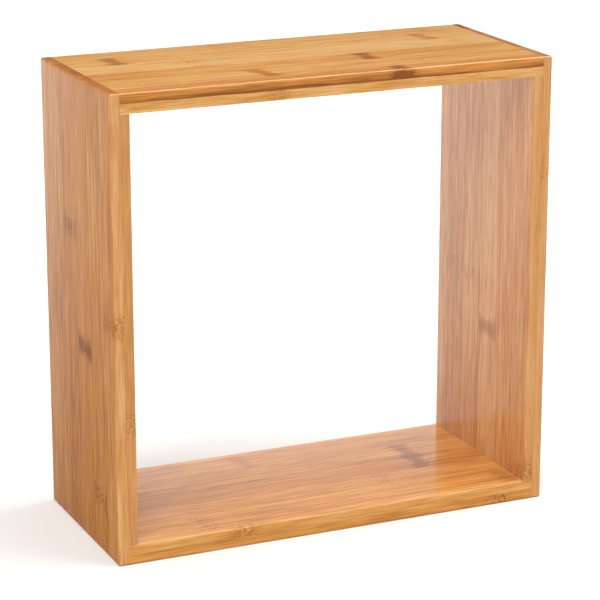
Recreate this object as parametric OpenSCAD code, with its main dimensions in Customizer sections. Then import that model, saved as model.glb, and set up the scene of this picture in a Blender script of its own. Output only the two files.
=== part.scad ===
// Open square shelf frame of laminated bamboo, for bottles or as a cube shelf.
//
// Four boards, each pressed from two layers of edge-glued laths. At every corner the inner layer
// of the side board stops short, and the end of the top or bottom board is glued into that step.
// The origin is at the middle of the underside. +X is right, +Y is to the rear and +Z is up.

/* [Frame] */
// Width over both side boards
frame_width = 280; // [200:5:400]
// Height over the bottom and top boards
frame_height = 280; // [200:5:400]
// Depth of all four boards, from the front edge to the rear edge
frame_depth = 120; // [60:1:144]

/* [Boards] */
// Thickness of the outer layer of laths, which is what the corner steps leave standing
outer_layer = 6; // [3:0.5:10]
// Thickness of the inner layer of laths, which faces the opening
inner_layer = 6; // [3:0.5:10]
// Radius sanded along the edges of the frame's outside
outer_round = 1.2; // [0.2:0.1:2.4]
// Radius sanded along the edges of the opening, at the front and at the rear
mouth_round = 0.8; // [0.2:0.1:2.4]

/* [Laths] */
// Width of a whole lath
lath_width = 22; // [18.5:0.5:40]
// Narrowest strip that stands at the front edge as a lath of its own
least_lath = 3; // [2.6:0.1:6]

/* [Width left on the rear lath of each layer] */
// Left board, outer layer
left_outer_rear = 13; // [3:0.5:22]
// Left board, inner layer
left_inner_rear = 20; // [3:0.5:22]
// Right board, outer layer
right_outer_rear = 20; // [3:0.5:22]
// Right board, inner layer
right_inner_rear = 13; // [3:0.5:22]
// Top board, outer layer
top_outer_rear = 20; // [3:0.5:22]
// Top board, inner layer
top_inner_rear = 11; // [3:0.5:22]
// Bottom board, outer layer
bottom_outer_rear = 12; // [3:0.5:22]
// Bottom board, inner layer
bottom_inner_rear = 5.5; // [3:0.5:22]

/* [Hidden] */
board_names = ["left", "right", "top", "bottom"];
layer_names = ["outer", "inner"];

// A whole board is as thick as its two layers.
board_thickness = outer_layer + inner_layer;
// How far a cutting tool runs past the wood.
run_out = 1;
// Fineness of the sanded quarter rounds.
$fn = 48;

// Bamboo shades, from the pale inside of the stem to its dark skin.
shades = ["#E3B06C", "#D9A05B", "#DDA864", "#CF9450"];

function lath_name(board, layer, i) = str(board, "_", layer, "_lath_", i);

// Width left on the rear lath of a layer.
function rear_lath(board, layer) =
    board == "left" ? (layer == "outer" ? left_outer_rear : left_inner_rear)
    : board == "right" ? (layer == "outer" ? right_outer_rear : right_inner_rear)
    : board == "top" ? (layer == "outer" ? top_outer_rear : top_inner_rear)
    : (layer == "outer" ? bottom_outer_rear : bottom_inner_rear);

// Laths in a layer: the rear one, whole ones, and what is left over at the front.
function lath_count(board, layer) =
    1 + ceil((frame_depth - rear_lath(board, layer) - least_lath) / lath_width);

// How far the rear side and the front side of lath i lie from the rear edge of its board.
function rear_side(board, layer, i) =
    i == 1 ? 0 : rear_lath(board, layer) + (i - 2) * lath_width;
function front_side(board, layer, i) =
    i == lath_count(board, layer) ? frame_depth : rear_side(board, layer, i + 1);

function is_side(board) = board == "left" || board == "right";

// What sanding takes off one edge, which runs along Z through the origin.
// The wood lies on the -X -Y side of it.
module edge_waste(radius, length) {
    difference() {
        translate([-radius, -radius, -length / 2 - run_out])
            cube([radius + run_out, radius + run_out, length + 2 * run_out]);
        translate([-radius, -radius, -length / 2 - 2 * run_out])
            cylinder(r = radius, h = length + 4 * run_out);
    }
}

// The waste of the four edges along Z of a block that is a by b.
module four_edges(a, b, length) {
    for (flip_x = [0, 1], flip_y = [0, 1])
        mirror([flip_x, 0, 0])
            mirror([0, flip_y, 0])
                translate([a / 2, b / 2, 0])
                    edge_waste(outer_round, length);
}

// The waste of all twelve outside edges of the frame.
module outside_edges() {
    translate([0, 0, frame_height / 2]) {
        four_edges(frame_width, frame_depth, frame_height);
        rotate([90, 0, 0])
            four_edges(frame_width, frame_height, frame_depth);
        rotate([0, 90, 0])
            four_edges(frame_height, frame_depth, frame_width);
    }
}

// The waste of the front and rear edges of one board's inner face, for the stretch of it
// that the opening shows. The board stands on end behind x = 0, and its length is along Z.
module mouth_edges(length) {
    for (flip_y = [0, 1])
        mirror([0, flip_y, 0])
            translate([0, frame_depth / 2, 0])
                intersection() {
                    edge_waste(mouth_round, length);
                    cube([4 * run_out, 4 * run_out, length], center = true);
                }
}

// A lath of a side board. It is drawn on the right, and mirrored for the left board.
module side_lath(board, layer, i) {
    outer = layer == "outer";
    inset = outer ? 0 : outer_layer;
    thickness = outer ? outer_layer : inner_layer;
    // The outer layer runs the full height. The inner one stands between top and bottom boards.
    end = outer ? 0 : board_thickness;
    rear = rear_side(board, layer, i);
    front = front_side(board, layer, i);
    mirror([board == "left" ? 1 : 0, 0, 0])
        difference() {
            translate([frame_width / 2 - inset - thickness, frame_depth / 2 - front, end])
                cube([thickness, front - rear, frame_height - 2 * end]);
            outside_edges();
            translate([frame_width / 2 - board_thickness, 0, frame_height / 2])
                mirror([1, 0, 0])
                    mouth_edges(frame_height - 2 * board_thickness);
        }
}

// A lath of the top or bottom board. It is drawn on top, and mirrored for the bottom board.
module level_lath(board, layer, i) {
    inset = layer == "outer" ? 0 : outer_layer;
    thickness = layer == "outer" ? outer_layer : inner_layer;
    // Both layers end against the outer layer of the side boards.
    length = frame_width - 2 * outer_layer;
    rear = rear_side(board, layer, i);
    front = front_side(board, layer, i);
    flip = board == "bottom" ? 1 : 0;
    translate([0, 0, flip * frame_height])
        mirror([0, 0, flip])
            difference() {
                translate([-length / 2, frame_depth / 2 - front, frame_height - inset - thickness])
                    cube([length, front - rear, thickness]);
                outside_edges();
                translate([0, 0, frame_height - board_thickness])
                    rotate([0, 90, 0])
                        mouth_edges(frame_width - 2 * board_thickness);
            }
}

module lath(board, layer, i) {
    color(shades[(2 * i + len(board) + (layer == "outer" ? 0 : 1)) % len(shades)]) {
        if (is_side(board))
            side_lath(board, layer, i);
        else
            level_lath(board, layer, i);
    }
}

for (board = board_names, layer = layer_names, i = [1:lath_count(board, layer)])
    lath(board, layer, i);
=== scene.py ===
# %% [markdown]
# # An open square frame of laminated bamboo
#
# The object is a cube shelf: four boards glued into a square, open at the front and the rear.
# A bamboo stem is a thin tube, so no board can be sawn from it. The stem is split into strips, each
# strip is planed into a lath, and the laths are glued edge to edge. Two such layers, pressed
# together, make one board. This lesson builds every lath as a piece of its own around the CAD model,
# gives each its own stretch of bamboo, and lights the frame as a product on a pale table.

import bpy
import numpy as np
from mathutils import Euler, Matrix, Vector


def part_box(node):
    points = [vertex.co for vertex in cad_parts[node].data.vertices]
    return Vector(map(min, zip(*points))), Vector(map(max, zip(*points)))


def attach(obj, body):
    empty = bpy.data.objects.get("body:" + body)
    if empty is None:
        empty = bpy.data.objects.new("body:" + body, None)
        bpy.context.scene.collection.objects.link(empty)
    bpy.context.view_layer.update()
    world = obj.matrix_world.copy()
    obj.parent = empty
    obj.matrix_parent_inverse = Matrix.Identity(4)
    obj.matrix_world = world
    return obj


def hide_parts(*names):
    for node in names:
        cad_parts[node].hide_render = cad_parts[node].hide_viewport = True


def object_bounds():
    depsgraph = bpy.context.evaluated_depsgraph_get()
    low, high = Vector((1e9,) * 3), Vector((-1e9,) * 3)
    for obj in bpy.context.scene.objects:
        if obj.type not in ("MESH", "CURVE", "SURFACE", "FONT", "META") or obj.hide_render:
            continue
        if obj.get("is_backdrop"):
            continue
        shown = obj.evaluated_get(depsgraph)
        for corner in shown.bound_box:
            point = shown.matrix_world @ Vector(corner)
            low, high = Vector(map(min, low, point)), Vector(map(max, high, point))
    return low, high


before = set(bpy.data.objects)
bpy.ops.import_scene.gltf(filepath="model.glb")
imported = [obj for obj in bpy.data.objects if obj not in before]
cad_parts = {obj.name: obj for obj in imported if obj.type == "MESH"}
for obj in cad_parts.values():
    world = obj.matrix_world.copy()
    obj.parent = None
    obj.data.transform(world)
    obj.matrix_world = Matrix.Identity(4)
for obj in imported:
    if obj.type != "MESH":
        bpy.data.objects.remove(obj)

cad_low, cad_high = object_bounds()
print("CAD box in metres:", tuple(cad_low), tuple(cad_high))

# %% [markdown]
# ## Sizes
#
# Blender works in metres and a joiner in millimetres, so one factor turns the second into the first.
# Places come from the CAD nodes. What the CAD boxes cannot say is how the edges are sanded, so those
# radii are named here: the frame is sanded after it is glued, and its outside edges get more than
# the edges of the opening. A glued joint has only the tiny ease that the planer leaves.

# %% Sanded edges
MM = 0.001
OUTSIDE_ROUND = 1.2 * MM
MOUTH_ROUND = 0.8 * MM
JOINT_EASE = 0.12 * MM
ARC_STEPS = 3            # mesh steps in each half of a rounded edge
HOLD = 0.35 * MM         # distance from an arc to the mesh line that keeps the flat face flat
LENGTH_STEP = 8 * MM     # longest mesh step along a lath
CROSS_STEP = 2.2 * MM    # longest mesh step across and through a lath
SAME = 0.01 * MM         # two faces nearer than this are flush


# %% [markdown]
# ## The four boards
#
# In the side boards the grain runs upwards, and in the top and bottom boards it runs from side to side.
# All laths lie side by side from the rear edge to the front edge. So a board needs only two facts:
# the axis that its grain follows, and the axis and direction in which its outer face looks.

# %% How each board lies
X, Y, Z = range(3)
BOARDS = {
    "left": {"along": Z, "through": X, "outward": -1},
    "right": {"along": Z, "through": X, "outward": 1},
    "top": {"along": X, "through": Z, "outward": 1},
    "bottom": {"along": X, "through": Z, "outward": -1},
}


def read_name(node):
    """Splits a node's name, such as top_outer_lath_3, into its board, its layer and its number."""
    board, layer, _, number = node.split("_")
    return board, layer, int(number)


laths = sorted(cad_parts, key=read_name)
# The opening is centred on x = 0, and the inner layer of the left board ends at its left side.
_, left_inner_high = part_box("left_inner_lath_1")
opening_half_width = -left_inner_high[X]
print(len(laths), "laths; the opening is", round(2 * opening_half_width / MM, 1), "mm wide")

# %% [markdown]
# ## A lath as a surface on a lattice
#
# A cube with a Bevel modifier would give every edge the same radius. These laths need three: the outside
# edges, the mouth of the opening, and the joints, and a mouth radius that runs out at the corners of
# the opening, as a sanding block leaves it. So the lath is worked out as a lattice: lists of stops along
# X, Y and Z, of which only the points on the outside are kept. Then each edge is rounded by moving
# the points near it.


# %% Stops and the closed box surface
def stops(low, high, low_radii, high_radii, step):
    """Places of the mesh lines along one axis. Near each end there is a fan of lines for each radius,
    at radius * (1 - tan(angle)) from the end for equal angles up to 45 degrees, then a holding
    line, and even steps between."""
    angles = np.linspace(0, np.pi / 4, ARC_STEPS + 1)
    room = (high - low) / 2
    places = [low, high]
    for radii, end, inward in ((low_radii, low, 1), (high_radii, high, -1)):
        for radius in radii:
            fan = radius * (1 - np.tan(angles))
            places.extend(end + inward * fan)
            places.append(end + inward * min(radius + HOLD, room))
    inner_low = low + max(low_radii) + HOLD
    inner_high = high - max(high_radii) - HOLD
    if inner_high > inner_low:
        count = int(np.ceil((inner_high - inner_low) / step))
        places.extend(np.linspace(inner_low, inner_high, count + 1))
    places = np.sort(np.array(places))
    return places[np.concatenate(([True], np.diff(places) > SAME))]


def box_surface(xs, ys, zs):
    """Points and outward quads of a closed box whose mesh lines are at the given stops. Each point of
    the full lattice gets a number if it lies on the outside, and each side is one slice of numbers."""
    size = (len(xs), len(ys), len(zs))
    outside = np.ones(size, bool)
    outside[1:-1, 1:-1, 1:-1] = False
    number = np.full(size, -1)
    number[outside] = np.arange(outside.sum())
    points = np.stack(np.meshgrid(xs, ys, zs, indexing="ij"), axis=-1)[outside]
    quads = []
    for axis in range(3):
        for end in (0, -1):
            side = np.take(number, end, axis=axis)
            quad = np.stack((side[:-1, :-1], side[1:, :-1], side[1:, 1:], side[:-1, 1:]), axis=-1)
            turned = (axis == Y) != (end == 0)
            quads.append((quad[..., ::-1] if turned else quad).reshape(-1, 4))
    return points, np.concatenate(quads)


def round_edge(points, i, end_i, sign_i, j, end_j, sign_j, radius):
    """Rounds the edge between the faces at end_i and end_j. Inside the square zone of one radius at the
    edge, q is the distance out from the arc's centre in radii. The square's outline has
    max(q) = 1, and the scaling max(q) / length(q) turns it into a quarter circle."""
    q_i = 1 - (end_i - points[:, i]) * sign_i / radius
    q_j = 1 - (end_j - points[:, j]) * sign_j / radius
    zone = (q_i > 0) & (q_j > 0)
    scale = np.maximum(q_i, q_j)[zone] / np.hypot(q_i, q_j)[zone]
    reach = np.broadcast_to(radius, q_i.shape)[zone]
    points[zone, i] = end_i - sign_i * reach * (1 - q_i[zone] * scale)
    points[zone, j] = end_j - sign_j * reach * (1 - q_j[zone] * scale)


# %% [markdown]
# Which radius does an edge have? If both of its faces lie on the outside of the frame, the sander has
# been along it. If one face looks into the opening and the other is the front or the rear, it is
# the mouth. Every other edge is a joint.


# %% The radius of each edge
def edge_radius(node, low, high, i, sign_i, j, sign_j):
    """Radius of the edge of a lath between its faces on axis i and axis j."""
    board, layer, _ = read_name(node)
    ends = {-1: (low, cad_low), 1: (high, cad_high)}
    # A face is flush if it lies in a side of the whole frame's box.
    flush = [
        abs(ends[sign][0][axis] - ends[sign][1][axis]) < SAME
        for axis, sign in ((i, sign_i), (j, sign_j))
    ]
    if all(flush):
        return OUTSIDE_ROUND
    through, outward = BOARDS[board]["through"], BOARDS[board]["outward"]
    signs = {i: sign_i, j: sign_j}
    if layer == "inner" and signs.get(through) == -outward and Y in signs:
        if flush[(i, j).index(Y)]:
            return MOUTH_ROUND
    return JOINT_EASE


EDGES = [(i, a, j, b) for i, j in ((X, Y), (Y, Z), (X, Z)) for a in (-1, 1) for b in (-1, 1)]
CORNER_RUN = 1.5 * MM    # length over which the mouth radius runs out in a corner of the opening
CORNER_STEPS = 4         # mesh steps in that length


def lath_surface(node):
    """Points and quads of one lath, with all twelve edges rounded."""
    low, high = (np.array(corner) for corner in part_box(node))
    board = BOARDS[read_name(node)[0]]
    radii = {edge: edge_radius(node, low, high, *edge) for edge in EDGES}
    lines = []
    for axis in range(3):
        near = {-1: set(), 1: set()}
        for (i, a, j, b), radius in radii.items():
            if axis in (i, j):
                near[a if axis == i else b].add(radius)
        step = LENGTH_STEP if axis == board["along"] else CROSS_STEP
        lines.append(stops(low[axis], high[axis], near[-1], near[1], step))
    if board["along"] == X:
        corners = opening_half_width - CORNER_RUN * np.linspace(0, 1, CORNER_STEPS + 1)
        inside = corners[(corners > low[X]) & (corners < high[X])]
        lines[X] = np.unique(np.concatenate((lines[X], inside, -inside)))
    points, quads = box_surface(*lines)
    for (i, a, j, b), radius in radii.items():
        if radius == MOUTH_ROUND and board["along"] == X:
            left_over = np.clip((opening_half_width - np.abs(points[:, X])) / CORNER_RUN, 0, 1)
            radius = JOINT_EASE + (MOUTH_ROUND - JOINT_EASE) * left_over
        end_i, end_j = (low if a < 0 else high)[i], (low if b < 0 else high)[j]
        round_edge(points, i, end_i, a, j, end_j, b, radius)
    return points, quads


sample_points, sample_quads = lath_surface("top_outer_lath_3")
print("one lath:", len(sample_points), "points,", len(sample_quads), "quads")

# %% [markdown]
# ## What each lath remembers of its stem
#
# The look of bamboo comes from where the lath lay in the stem. Its fibres run dead straight along it. The
# side that was the skin of the stem is denser and darker than the side that was the hollow. Every 200 mm
# or so the stem has a node, which shows as a short dark band with swirled fibres. None of this can be
# read from the shape, so each mesh carries it as attributes, and the material reads them.
#
# TONES and RED list the laths of a layer from the rear to the front. TONES says how dark each one is,
# from 0 for pale straw to 1 for the brown of the skin. RED says how strongly each one is tinted
# red-brown, because steaming turns some stems redder than others. KNOTS says where the nodes lie that a
# buyer would notice. A knot is its distance in millimetres from the board's end (the left end, or the
# lower end of a side board), its darkness, how speckled it is, and how many millimetres farther it lies
# at the lath's front side than in its middle. A lath with an empty entry has no knot, and a lath with
# no entry gets knots at the stem's own spacing.

# %% Tones and knots
TONES = {
    ("top", "outer"): (0.24, 0.25, 0.06, 0.34, 0.28, 0.44),
    ("top", "inner"): (0.30, 0.20, 0.35, 0.25, 0.30, 0.28),
    ("bottom", "outer"): (0.35, 0.25, 0.40, 0.30, 0.35, 0.54),
    ("bottom", "inner"): (0.42, 0.54, 0.54, 0.60, 0.54, 0.56, 0.42),
    ("left", "outer"): (0.56, 0.52, 0.60, 0.48, 0.46, 0.38),
    ("left", "inner"): (0.40, 0.45, 0.35, 0.30, 0.42, 0.56),
    ("right", "outer"): (0.42, 0.35, 0.46, 0.38, 0.30, 0.42),
    ("right", "inner"): (0.34, 0.46, 0.42, 0.28, 0.45, 0.46),
}
RED = {
    ("top", "outer"): (0.5, 0.7, 0.6, 1.0, 0.9, 0.4),
    ("top", "inner"): (0.2, 0.2, 0.2, 0.2, 0.2, 0.1),
    ("bottom", "outer"): (0.4, 0.4, 0.4, 0.4, 0.4, 0.5),
    ("bottom", "inner"): (0.8, 0.9, 0.9, 1.1, 0.9, 0.8, 0.0),
    ("left", "outer"): (0.8, 1.0, 1.3, 1.3, 1.2, 1.1),
    ("left", "inner"): (0.2, 0.2, 0.2, 0.2, 0.2, 1.0),
    ("right", "outer"): (0.2, 0.2, 0.2, 0.2, 0.2, 0.4),
    ("right", "inner"): (0.2, 0.2, 0.2, 0.1, 0.4, 0.2),
}
KNOTS = {
    "top_outer_lath_1": ((108, 0.2, 0.2, 1), (248, 0.2, 0.4, 1)),
    "top_outer_lath_2": ((34, 0.95, 0.3, 1), (238, 0.75, 0.3, 3)),
    "top_outer_lath_3": ((77, 0.12, 0.7, 1), (253, 0.12, 0.3, 1)),
    "top_outer_lath_4": ((178, 1.0, 0.3, 0),),
    "top_outer_lath_5": ((102, 0.95, 0.2, 4),),
    "top_outer_lath_6": ((181, 0.8, 0.6, 0),),
    "top_inner_lath_6": ((101, 0.25, 0.4, 0),),
    "left_outer_lath_1": (),
    "left_outer_lath_2": ((138, 0.0, 0.3, 0),),
    "left_outer_lath_3": ((188, 0.45, 0.9, -1),),
    "left_outer_lath_4": ((119, 1.0, 1.0, 0),),
    "left_outer_lath_5": ((32, 0.3, 1.0, -2),),
    "left_outer_lath_6": ((145, 0.35, 0.7, 0),),
    "left_inner_lath_6": ((87, 0.1, 0.6, 0),),
    "right_inner_lath_1": (),
    "right_inner_lath_2": ((131, 0.1, 0.4, 1),),
    "right_inner_lath_3": ((129, 0.15, 0.5, 2),),
    "right_inner_lath_4": ((98, 0.7, 0.35, 0),),
    "right_inner_lath_5": (),
    "right_inner_lath_6": ((16, 0.25, 0.6, 2),),
    "right_outer_lath_6": ((211, 0.1, 0.5, 0),),
    "bottom_inner_lath_1": (),
    "bottom_inner_lath_2": ((121, 0.3, 0.4, 2),),
    "bottom_inner_lath_3": ((225, 0.9, 0.8, 0),),
    "bottom_inner_lath_4": ((224, 1.1, 1.0, -1),),
    "bottom_inner_lath_5": ((190, 0.05, 0.8, 0),),
    "bottom_inner_lath_6": ((60, 0.15, 0.8, 1), (261, 0.4, 0.7, 1)),
    "bottom_inner_lath_7": ((80, 0.1, 0.9, 0),),
    "bottom_outer_lath_6": ((250, 0.2, 0.9, 0),),
}
# What the skin side adds to the darkness of a lath: much on the one with its skin left on, else little.
SKIN_SHADE = {"top_outer_lath_6": 0.75}
PLAIN_SKIN_SHADE = 0.10
SKIN_FALL_OFF = 1.3      # power with which that fades towards the hollow side
END_GRAIN_SHADE = 0.35   # what a sawn end adds, because its open pores soak up lacquer
# The front and rear edges of a board show laths from the side: how much calmer and less red they are.
CALM = {"left": 0.5, "right": 0.65, "top": 0.1, "bottom": 0.25}
FRONT_YELLOW = {"left": 1.5, "right": 0.9, "top": 0.1, "bottom": 0.0}
# Knots that are in no table: millimetres between two, place of the first as a share of that, millimetres
# of lean, darkness, and how speckled they are.
NODE_SPACING = (190, 260)
FIRST_NODE = (0.15, 0.85)
NODE_LEAN = (-4, 4)
NODE_DARKNESS = (0.3, 0.7)
NODE_SPECKLE = 0.5
NO_KNOT = (1000.0, 0, 0, 0)  # a knot without any darkness, a metre away
STEM_REACH = 400         # a lath starts within this many millimetres of the middle of the pattern
rng = np.random.default_rng(20)


def lath_knots(node):
    """The two knots of a lath: those in the table, or two at the stem's own spacing. The second may lie
    past the end of the lath. The four draws are made for every lath, so that a new entry in the table
    leaves the other laths as they are."""
    spacing = rng.uniform(*NODE_SPACING)
    first = rng.uniform(*FIRST_NODE) * spacing
    lean = rng.uniform(*NODE_LEAN)
    darkness = rng.uniform(*NODE_DARKNESS)
    if node in KNOTS:
        return (list(KNOTS[node]) + [NO_KNOT] * 2)[:2]
    return [(place, darkness, NODE_SPECKLE, lean) for place in (first, first + spacing)]


# %% [markdown]
# The attribute "grain" is a place in the stem in millimetres: along the fibres, across them, and in from
# the skin. Each lath starts at its own random place, so no two show the same stretch. "lath" holds the
# distance from the lath's rear side, its width, and a number that is 0 where the surface faces the front
# or the rear and 1 where it faces up, down or sideways, because only there do two laths of a layer meet.
# "knot_1" and "knot_2" hold the signed distance along the grain to a knot, its darkness and its speckle.
# "tone", "red" and "contrast" are single numbers: how dark, how red and how streaky the bamboo is. A
# distance is linear over the lath, so the coarse mesh hands it on exactly.


# %% Attributes from the place of each point
def lath_attributes(node, points, normals):
    """All attributes of one lath, as arrays with one row for each point: the vectors, then the numbers."""
    board, layer, number = read_name(node)
    lie = BOARDS[board]
    low, high = (np.array(corner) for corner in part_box(node))
    along = (points[:, lie["along"]] - cad_low[lie["along"]]) / MM
    width = (high[Y] - low[Y]) / MM
    from_rear = (high[Y] - points[:, Y]) / MM
    thickness = (high - low)[lie["through"]] / MM
    # The skin sides of the two layers meet in the glue line between them.
    outer_side = lie["outward"] if layer == "inner" else -lie["outward"]
    skin = (high if outer_side > 0 else low)[lie["through"]]
    depth = np.abs(points[:, lie["through"]] - skin) / MM
    start = rng.uniform(-STEM_REACH, STEM_REACH, 3)
    grain = np.stack((along + start[0], from_rear + start[1], depth + start[2]), axis=1)
    across = 2 * from_rear / width - 1
    shade = SKIN_SHADE.get(node, PLAIN_SKIN_SHADE) * (1 - depth / thickness) ** SKIN_FALL_OFF
    end_grain = np.abs(normals[:, lie["along"]]) ** 2
    tone = TONES[board, layer][number - 1] + shade + END_GRAIN_SHADE * end_grain
    facing = normals[:, Y] ** 2
    vectors = {
        "grain": grain,
        "lath": np.stack((from_rear, np.full_like(depth, width), 1 - facing), axis=1),
    }
    for k, (place, dark, speckle, lean) in enumerate(lath_knots(node), 1):
        distance = along - place - lean * across
        vectors[f"knot_{k}"] = np.stack(
            (distance, np.full_like(distance, dark), np.full_like(distance, speckle)), axis=1)
    red = RED[board, layer][number - 1] - FRONT_YELLOW[board] * facing
    return vectors, {"tone": tone, "red": red, "contrast": 1 - CALM[board] * facing}


# %% [markdown]
# ## The bamboo
#
# Carbonised bamboo is bamboo steamed until its sugars turn honey brown, then planed, sanded and given two
# coats of satin lacquer. The eye gets straight streaks about a millimetre wide that run the length of
# a lath, finer dark dashes where a bundle of fibres comes to the surface, a slight change of
# colour from lath to lath, and a thin gloss that turns milky where it mirrors something bright.
#
# Wood textures are often made with a Wave texture, but bamboo has no rings. Its pattern is
# stretched noise: the "grain" attribute is divided by the real size of each feature, so the
# noise has features of one unit. End grain then shows dots by itself, as the streaks are solid.

# %% Colour from sRGB hex, and one helper that adds a node
def linear(hex_colour):
    """sRGB hex to linear light. A channel c from 0 to 1 becomes c / 12.92 up to 0.04045, and
    ((c + 0.055) / 1.055) ** 2.4 above."""
    channels = np.array([int(hex_colour[k:k + 2], 16) for k in (1, 3, 5)]) / 255
    low = channels / 12.92
    high = ((channels + 0.055) / 1.055) ** 2.4
    return (*np.where(channels <= 0.04045, low, high).tolist(), 1.0)


def add(tree, kind, inputs=None, out=0, **settings):
    """Adds one node: settings are its properties, and inputs gives a value or a link for each
    socket that is named. Returns the output socket that is asked for, if the node has any."""
    node = tree.nodes.new(kind)
    for name, value in settings.items():
        setattr(node, name, value)
    for name, value in (inputs or {}).items():
        if isinstance(value, bpy.types.NodeSocket):
            tree.links.new(value, node.inputs[name])
        else:
            node.inputs[name].default_value = value
    return node.outputs[out] if node.outputs else None


# %% [markdown]
# The feature sizes are in millimetres: along the grain, across it, and through it. A real bundle of
# fibres is 0.3 to 0.6 mm across. The finest streaks are drawn a little coarser, so that they show at all.
# The middle streaks reach as deep as a lath is thick, so that they do not stripe the edge of a board.
#
# A pair of noise values says between which two a feature goes from its first amount to its second.

# %% Sizes of the bamboo's features
STREAK = (22.0, 0.8, 0.8)
MIDDLE_STREAK = (60.0, 2.0, 6.0)
BROAD_STREAK = (110.0, 5.0, 5.0)
CLOUD = (150.0, 20.0, 9.0)
BUNDLE = (15.0, 1.05, 1.05)
RAGGED = (5.0, 0.9, 0.9)
SPECKLE = (1.7, 1.0, 1.0)
STREAK_SHADE, MIDDLE_SHADE, BROAD_SHADE, CLOUD_SHADE, BUNDLE_SHADE = 1.5, 0.9, 0.5, 0.3, 0.3
BUNDLE_NOISE = (0.35, 0.7)
BUNDLE_RADIUS = (0.2, 0.48)  # as a share of a cell, where bundles are thin and where they are thick
BUNDLE_EDGE = 0.2            # softness of a bundle's rim, as a share of a cell
RAGGED_REACH = 9.0           # millimetres by which the ragged ends of a knot can differ at most
KNOT_HALF_LENGTH, KNOT_SIDE_LENGTH = 4.2, 3.0  # in the middle of a lath, and what its sides add
KNOT_SHADE, SPECKLE_SHADE = 0.7, 0.5
KNOT_FLATNESS = 1.5          # 1 makes a plain bell, and more makes its top flatter
SPECKLE_REACH = 8.5
SPECKLE_NOISE = (0.35, 0.65)
SPECKLE_RANGE = (-0.6, 0.9)  # specks lighten a little and darken more
GLUE_REACH, GLUE_SHADE = 0.35, 0.16
HONEY_AT, BROWN_AT = 0.5, 1.2  # the darkness that has the middle colour, and the one that has the last
RED_TINT = (1.0, 0.87, 0.58, 1.0)  # linear factors that turn honey to red-brown
FIBRE_RELIEF = 0.018 * MM
BUNDLE_SINK = 0.5            # how deep bundles lie, against the height of the streaks
ROUGHNESS_NOISE = (0.2, 0.8)
ROUGHNESS = (0.38, 0.52)
COAT_ROUGHNESS = 0.12


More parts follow.
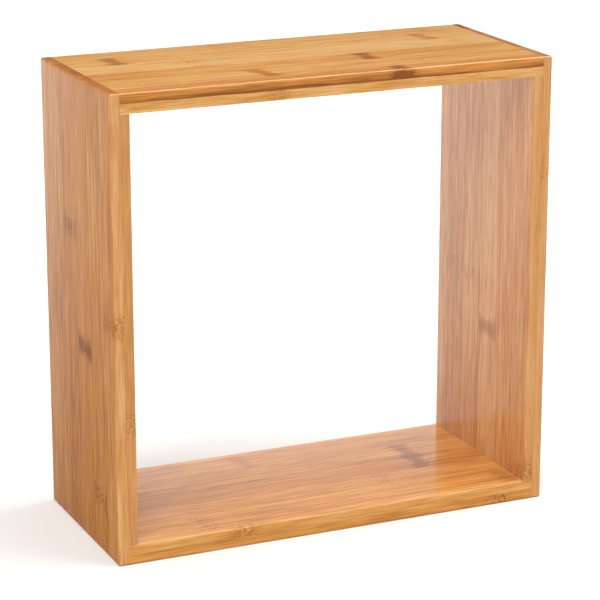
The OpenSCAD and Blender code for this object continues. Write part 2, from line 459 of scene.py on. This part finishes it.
# %% The bamboo material
def bamboo(name, pale, honey, brown, fleck):
    """Lacquered carbonised bamboo. A darkness is summed up from the lath's tone, streaks, glue lines and
    knots, and colours run from pale at 0 over honey to brown. Bundles are mixed in as flecks, and the
    red tint multiplies the result."""
    material = bpy.data.materials.new(name)
    material.use_nodes = True
    tree = material.node_tree
    tree.nodes.clear()
    grain = add(tree, "ShaderNodeAttribute", out="Vector", attribute_name="grain")
    lath = add(tree, "ShaderNodeAttribute", out="Vector", attribute_name="lath")
    tone = add(tree, "ShaderNodeAttribute", out="Fac", attribute_name="tone")
    red = add(tree, "ShaderNodeAttribute", out="Fac", attribute_name="red")
    contrast = add(tree, "ShaderNodeAttribute", out="Fac", attribute_name="contrast")

    # Stretched noise, each centred on zero, calmed by the contrast and weighted.
    darkness = tone
    patterns = []
    for size, weight, detail in (
        (STREAK, STREAK_SHADE, 2.0), (MIDDLE_STREAK, MIDDLE_SHADE, 1.0),
        (BROAD_STREAK, BROAD_SHADE, 1.0), (CLOUD, CLOUD_SHADE, 1.0),
    ):
        place = add(tree, "ShaderNodeVectorMath", {0: grain, 1: size}, operation="DIVIDE")
        noise = add(tree, "ShaderNodeTexNoise", {"Vector": place, "Scale": 1.0, "Detail": detail},
                    out="Fac")
        patterns.append(noise)
        centred = add(tree, "ShaderNodeMath", {0: noise, 1: 0.5}, operation="SUBTRACT")
        centred = add(tree, "ShaderNodeMath", {0: centred, 1: contrast}, operation="MULTIPLY")
        darkness = add(tree, "ShaderNodeMath", {0: centred, 1: weight, 2: darkness},
                       operation="MULTIPLY_ADD")

    # Fibre bundles: the core of each long cell is a dark dash, thicker in some places than in others.
    place = add(tree, "ShaderNodeVectorMath", {0: grain, 1: BUNDLE}, operation="DIVIDE")
    cell = add(tree, "ShaderNodeTexVoronoi", {"Vector": place, "Scale": 1.0}, out="Distance")
    reach = add(tree, "ShaderNodeMapRange", {
        "Value": patterns[1], "From Min": BUNDLE_NOISE[0], "From Max": BUNDLE_NOISE[1],
        "To Min": BUNDLE_RADIUS[0], "To Max": BUNDLE_RADIUS[1],
    })
    dash = add(tree, "ShaderNodeMath", {0: reach, 1: cell}, operation="SUBTRACT")
    bundle = add(tree, "ShaderNodeMapRange", {"Value": dash, "From Min": 0.0, "From Max": BUNDLE_EDGE})

    # Glue lines: the last fraction of a millimetre on both sides of a lath, but not on the front or
    # rear edge of a board.
    parts = add(tree, "ShaderNodeSeparateXYZ", {0: lath}).node.outputs
    other_side = add(tree, "ShaderNodeMath", {0: parts[1], 1: parts[0]}, operation="SUBTRACT")
    nearest = add(tree, "ShaderNodeMath", {0: parts[0], 1: other_side}, operation="MINIMUM")
    glue = add(tree, "ShaderNodeMapRange", {
        "Value": nearest, "From Min": 0.0, "From Max": GLUE_REACH, "To Min": GLUE_SHADE, "To Max": 0.0,
    })
    darkness = add(tree, "ShaderNodeMath", {0: glue, 1: parts[2], 2: darkness}, operation="MULTIPLY_ADD")

    # What all knots share: a place across the lath from -1 to 1, ragged ends, and the specks.
    share = add(tree, "ShaderNodeMath", {0: parts[0], 1: parts[1]}, operation="DIVIDE")
    across = add(tree, "ShaderNodeMath", {0: share, 1: 2.0, 2: -1.0}, operation="MULTIPLY_ADD")
    squared = add(tree, "ShaderNodeMath", {0: across, 1: across}, operation="MULTIPLY")
    half_length = add(tree, "ShaderNodeMath", {0: squared, 1: KNOT_SIDE_LENGTH, 2: KNOT_HALF_LENGTH},
                      operation="MULTIPLY_ADD")
    place = add(tree, "ShaderNodeVectorMath", {0: grain, 1: RAGGED}, operation="DIVIDE")
    ragged = add(tree, "ShaderNodeTexNoise", {"Vector": place, "Scale": 1.0, "Detail": 2.0}, out="Fac")
    ragged = add(tree, "ShaderNodeMath", {0: ragged, 1: RAGGED_REACH, 2: -RAGGED_REACH / 2},
                 operation="MULTIPLY_ADD")
    place = add(tree, "ShaderNodeVectorMath", {0: grain, 1: SPECKLE}, operation="DIVIDE")
    speck = add(tree, "ShaderNodeTexNoise", {"Vector": place, "Scale": 1.0, "Detail": 1.0}, out="Fac")
    speck = add(tree, "ShaderNodeMapRange", {
        "Value": speck, "From Min": SPECKLE_NOISE[0], "From Max": SPECKLE_NOISE[1],
        "To Min": SPECKLE_RANGE[0], "To Max": SPECKLE_RANGE[1],
    })

    # A knot is a dark band and a wider zone of specks. Both fade along the grain as a bell with a flat
    # top: e to the power of minus (the square of distance / half length) raised to the flatness.
    for number in (1, 2):
        knot = add(tree, "ShaderNodeAttribute", out="Vector", attribute_name=f"knot_{number}")
        knot = add(tree, "ShaderNodeSeparateXYZ", {0: knot}).node.outputs
        distance = add(tree, "ShaderNodeMath", {0: knot[0], 1: ragged}, operation="ADD")
        for span, strength, weight, pattern in (
            (half_length, knot[1], KNOT_SHADE, None), (SPECKLE_REACH, knot[2], SPECKLE_SHADE, speck),
        ):
            ratio = add(tree, "ShaderNodeMath", {0: distance, 1: span}, operation="DIVIDE")
            power = add(tree, "ShaderNodeMath", {0: ratio, 1: ratio}, operation="MULTIPLY")
            power = add(tree, "ShaderNodeMath", {0: power, 1: KNOT_FLATNESS}, operation="POWER")
            power = add(tree, "ShaderNodeMath", {0: power, 1: -1.0}, operation="MULTIPLY")
            band = add(tree, "ShaderNodeMath", {0: power}, operation="EXPONENT")
            band = add(tree, "ShaderNodeMath", {0: band, 1: weight}, operation="MULTIPLY")
            if pattern:
                band = add(tree, "ShaderNodeMath", {0: band, 1: pattern}, operation="MULTIPLY")
            darkness = add(tree, "ShaderNodeMath", {0: band, 1: strength, 2: darkness},
                           operation="MULTIPLY_ADD")

    # Colours. Sockets 0, 6 and 7 of a Mix node are its factor and its two colours, and output 2 is the
    # mixed colour. The red tint is not clamped, so a lath with a number below 0 turns yellower.
    first = add(tree, "ShaderNodeMapRange", {"Value": darkness, "From Min": 0.0, "From Max": HONEY_AT})
    second = add(tree, "ShaderNodeMapRange",
                 {"Value": darkness, "From Min": HONEY_AT, "From Max": BROWN_AT})
    colour = add(tree, "ShaderNodeMix", {0: first, 6: linear(pale), 7: linear(honey)},
                 out=2, data_type="RGBA")
    colour = add(tree, "ShaderNodeMix", {0: second, 6: colour, 7: linear(brown)},
                 out=2, data_type="RGBA")
    bundle_share = add(tree, "ShaderNodeMath", {0: bundle, 1: BUNDLE_SHADE}, operation="MULTIPLY")
    colour = add(tree, "ShaderNodeMix", {0: bundle_share, 6: colour, 7: linear(fleck)},
                 out=2, data_type="RGBA")
    redder = add(tree, "ShaderNodeMix", {0: 1.0, 6: colour, 7: RED_TINT},
                 out=2, data_type="RGBA", blend_type="MULTIPLY")
    colour = add(tree, "ShaderNodeMix", {0: red, 6: colour, 7: redder},
                 out=2, data_type="RGBA", clamp_factor=False)

    # The lacquer levels the fibres, but not quite.
    height = add(tree, "ShaderNodeMath", {0: bundle, 1: -BUNDLE_SINK, 2: patterns[0]},
                 operation="MULTIPLY_ADD")
    relief = add(tree, "ShaderNodeBump", {"Height": height, "Distance": FIBRE_RELIEF, "Strength": 1.0})
    roughness = add(tree, "ShaderNodeMapRange", {
        "Value": patterns[0], "From Min": ROUGHNESS_NOISE[0], "From Max": ROUGHNESS_NOISE[1],
        "To Min": ROUGHNESS[0], "To Max": ROUGHNESS[1],
    })
    wood = add(tree, "ShaderNodeBsdfPrincipled", {
        "Base Color": colour, "Roughness": roughness, "Normal": relief, "Coat Normal": relief,
        "IOR": 1.5, "Specular IOR Level": 0.2, "Coat Weight": 1.0, "Coat Roughness": COAT_ROUGHNESS,
        "Coat IOR": 1.5,
    })
    add(tree, "ShaderNodeOutputMaterial", {"Surface": wood})
    print(name, "has", len(tree.nodes), "nodes")
    return material


MATERIALS = {
    "bamboo_honey": bamboo("honey_bamboo_satin_lacquer", "#EDC083", "#DA9A4C", "#9C5E1E", "#A86426"),
    "bamboo_tan": bamboo("tan_bamboo_satin_lacquer", "#EABB82", "#D5924E", "#985A22", "#A05C28"),
    "bamboo_amber": bamboo("amber_bamboo_satin_lacquer", "#E9B06A", "#D78F42", "#8F5119", "#9E5A22"),
}

# %% [markdown]
# ## Every lath becomes a piece
#
# Each lath replaces the CAD node of its name, rides on the one rigid body, and takes the finish of its
# material slot. There are three slots: one for the side boards, one for the top and the bottom board,
# and one for the front lath of the top board, whose skin side makes it the darkest of all.


# %% Build the laths
def new_mesh(name, points, quads):
    """A mesh from arrays: points are written at once, and quads as runs of four corners."""
    mesh = bpy.data.meshes.new(name)
    mesh.vertices.add(len(points))
    mesh.vertices.foreach_set("co", points.astype(np.float32).ravel())
    mesh.loops.add(quads.size)
    mesh.loops.foreach_set("vertex_index", quads.astype(np.int32).ravel())
    mesh.polygons.add(len(quads))
    mesh.polygons.foreach_set("loop_start", np.arange(0, quads.size, 4, dtype=np.int32))
    mesh.update(calc_edges=True)
    mesh.validate()
    mesh.shade_smooth()
    return mesh


def slot_of(node):
    """The material slot of a lath."""
    if node == "top_outer_lath_6":
        return "bamboo_amber"
    return "bamboo_tan" if read_name(node)[0] in ("left", "right") else "bamboo_honey"


triangle_total = 0
for node in laths:
    points, quads = lath_surface(node)
    mesh = new_mesh(node, points, quads)
    normals = np.empty(points.size, np.float32)
    mesh.vertex_normals.foreach_get("vector", normals)
    vectors, numbers = lath_attributes(node, points, normals.reshape(-1, 3))
    for attribute, rows in vectors.items():
        mesh.attributes.new(attribute, "FLOAT_VECTOR", "POINT").data.foreach_set("vector", rows.ravel())
    for attribute, column in numbers.items():
        mesh.attributes.new(attribute, "FLOAT", "POINT").data.foreach_set("value", column)
    piece = bpy.data.objects.new("bamboo_" + node, mesh)
    bpy.context.scene.collection.objects.link(piece)
    mesh.materials.append(MATERIALS[slot_of(node)])
    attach(piece, "root")
    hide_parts(node)
    triangle_total += 2 * len(quads)
print(len(laths), "laths with", triangle_total, "triangles")

# %% [markdown]
# ## The table and the light
#
# The frame stands on a wide pale table under four soft lights. The strongest comes from the right and
# the next from the front left, and weaker ones come from overhead and from the rear left. The room is
# white to the camera, but adds only a little light. The milky veil on the insides is the lacquer
# mirroring a bright wall low behind the frame. That wall is a card which only mirrors see, so it does
# not light the wood.


# %% Table
paper = bpy.data.materials.new("white_matt_paper")
paper.use_nodes = True
paper.node_tree.nodes.clear()
matt = add(paper.node_tree, "ShaderNodeBsdfDiffuse", {"Color": linear("#E8E8E7")})
add(paper.node_tree, "ShaderNodeOutputMaterial", {"Surface": matt})

TABLE_HALF = 6.0
corners = [(-TABLE_HALF, -TABLE_HALF, 0), (TABLE_HALF, -TABLE_HALF, 0),
           (TABLE_HALF, TABLE_HALF, 0), (-TABLE_HALF, TABLE_HALF, 0)]
table = bpy.data.objects.new("table", new_mesh("table", np.array(corners), np.array([[0, 1, 2, 3]])))
bpy.context.scene.collection.objects.link(table)
table.data.materials.append(paper)
table.visible_glossy = False
table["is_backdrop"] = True


# %% Lights
def soft_sun(name, azimuth, elevation, spread, strength):
    """A far soft light. Azimuth 0 comes from the front and 90 from the right; spread is how wide
    the light looks from the table, all in degrees."""
    a, e = np.radians((azimuth, elevation))
    towards = Vector((np.sin(a) * np.cos(e), -np.cos(a) * np.cos(e), np.sin(e)))
    data = bpy.data.lights.new(name, "SUN")
    data.energy = strength
    data.angle = np.radians(spread)
    light = bpy.data.objects.new(name, data)
    bpy.context.scene.collection.objects.link(light)
    light.rotation_euler = towards.to_track_quat("Z", "Y").to_euler()
    light.visible_camera = False


soft_sun("overhead_light", 0, 90, 30, 0.95)
soft_sun("front_left_light", -38, 50, 40, 1.7)
soft_sun("right_light", 76, 60, 40, 2.1)
soft_sun("rear_left_light", -145, 49, 40, 0.8)

# %% The bright wall behind, which only the lacquer mirrors
WALL_Y = 0.70
WALL_X = (-0.46, 0.75)
WALL_Z = (-0.60, 0.41)
WALL_GLOW = 1.6
WALL_SLANT = 0.1         # how far the wall's left end leans, in metres across for each metre up
# The wall is dark at its left, lower and upper end, and fully bright from these places inwards.
LEFT_BRIGHT, LOWER_BRIGHT, UPPER_BRIGHT = -0.20, 0.10, 0.19
wall_corners = [(WALL_X[0], WALL_Y, WALL_Z[0]), (WALL_X[1], WALL_Y, WALL_Z[0]),
                (WALL_X[1], WALL_Y, WALL_Z[1]), (WALL_X[0], WALL_Y, WALL_Z[1])]
wall_mesh = new_mesh("bright_wall", np.array(wall_corners), np.array([[0, 1, 2, 3]]))
wall = bpy.data.objects.new("bright_wall", wall_mesh)
bpy.context.scene.collection.objects.link(wall)
glow = bpy.data.materials.new("lit_white_wall")
glow.use_nodes = True
glow.node_tree.nodes.clear()
place = add(glow.node_tree, "ShaderNodeTexCoord", out="Object")
parts = add(glow.node_tree, "ShaderNodeSeparateXYZ", {0: place}).node.outputs
leaning = add(glow.node_tree, "ShaderNodeMath", {0: parts[Z], 1: WALL_SLANT, 2: parts[X]},
              operation="MULTIPLY_ADD")
strength = WALL_GLOW
for part, dark_end, bright_end in (
    (leaning, WALL_X[0], LEFT_BRIGHT),
    (parts[Z], WALL_Z[0], LOWER_BRIGHT),
    (parts[Z], WALL_Z[1], UPPER_BRIGHT),
):
    fade = add(glow.node_tree, "ShaderNodeMapRange",
               {"Value": part, "From Min": dark_end, "From Max": bright_end},
               interpolation_type="SMOOTHSTEP")
    strength = add(glow.node_tree, "ShaderNodeMath", {0: fade, 1: strength}, operation="MULTIPLY")
shine = add(glow.node_tree, "ShaderNodeEmission", {"Strength": strength})
add(glow.node_tree, "ShaderNodeOutputMaterial", {"Surface": shine})
wall.data.materials.append(glow)
wall.visible_camera = False
wall.visible_diffuse = False
wall.visible_shadow = False
wall.visible_transmission = False
wall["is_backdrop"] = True

# %% The room: white to the eye, softer as light and in mirrors
ROOM_SEEN, ROOM_LIGHT, ROOM_MIRRORED = 1.0, 0.15, 0.1
world = bpy.data.worlds.new("white_room")
bpy.context.scene.world = world
world.use_nodes = True
room = world.node_tree
room.nodes.clear()
ray = add(room, "ShaderNodeLightPath").node.outputs
strength = add(room, "ShaderNodeMix", {0: ray["Is Glossy Ray"], 2: ROOM_LIGHT, 3: ROOM_MIRRORED})
strength = add(room, "ShaderNodeMix", {0: ray["Is Camera Ray"], 2: strength, 3: ROOM_SEEN})
sky = add(room, "ShaderNodeBackground", {"Color": (1, 1, 1, 1), "Strength": strength})
add(room, "ShaderNodeOutputWorld", {"Surface": sky})
bpy.context.scene.view_settings.view_transform = "Standard"

# %% [markdown]
# ## The camera
#
# The frame is seen from the front left and a little above, through a long lens.

# %% Camera
LENS, SENSOR_WIDTH = 148.1, 36.0               # millimetres
CAMERA_PLACE = (-589.4, -1322.2, 555.8)        # millimetres
TILTED_DOWN, TURNED_RIGHT = 16.42, 24.10       # degrees
camera_data = bpy.data.cameras.new("camera")
camera_data.lens = LENS
camera_data.sensor_width = SENSOR_WIDTH
camera = bpy.data.objects.new("camera", camera_data)
bpy.context.scene.collection.objects.link(camera)
camera.location = Vector(CAMERA_PLACE) * MM
camera.rotation_euler = Euler(np.radians((90 - TILTED_DOWN, 0, -TURNED_RIGHT)).tolist())
bpy.context.scene.camera = camera

# %% [markdown]
# ## Measure and finish
#
# The visual model must fill the same box as the CAD model, so both boxes are measured and the largest
# difference between them is printed.

new_low, new_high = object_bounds()
low_difference = max(map(abs, new_low - cad_low))
high_difference = max(map(abs, new_high - cad_high))
print("largest difference in mm:", max(low_difference, high_difference) / MM)
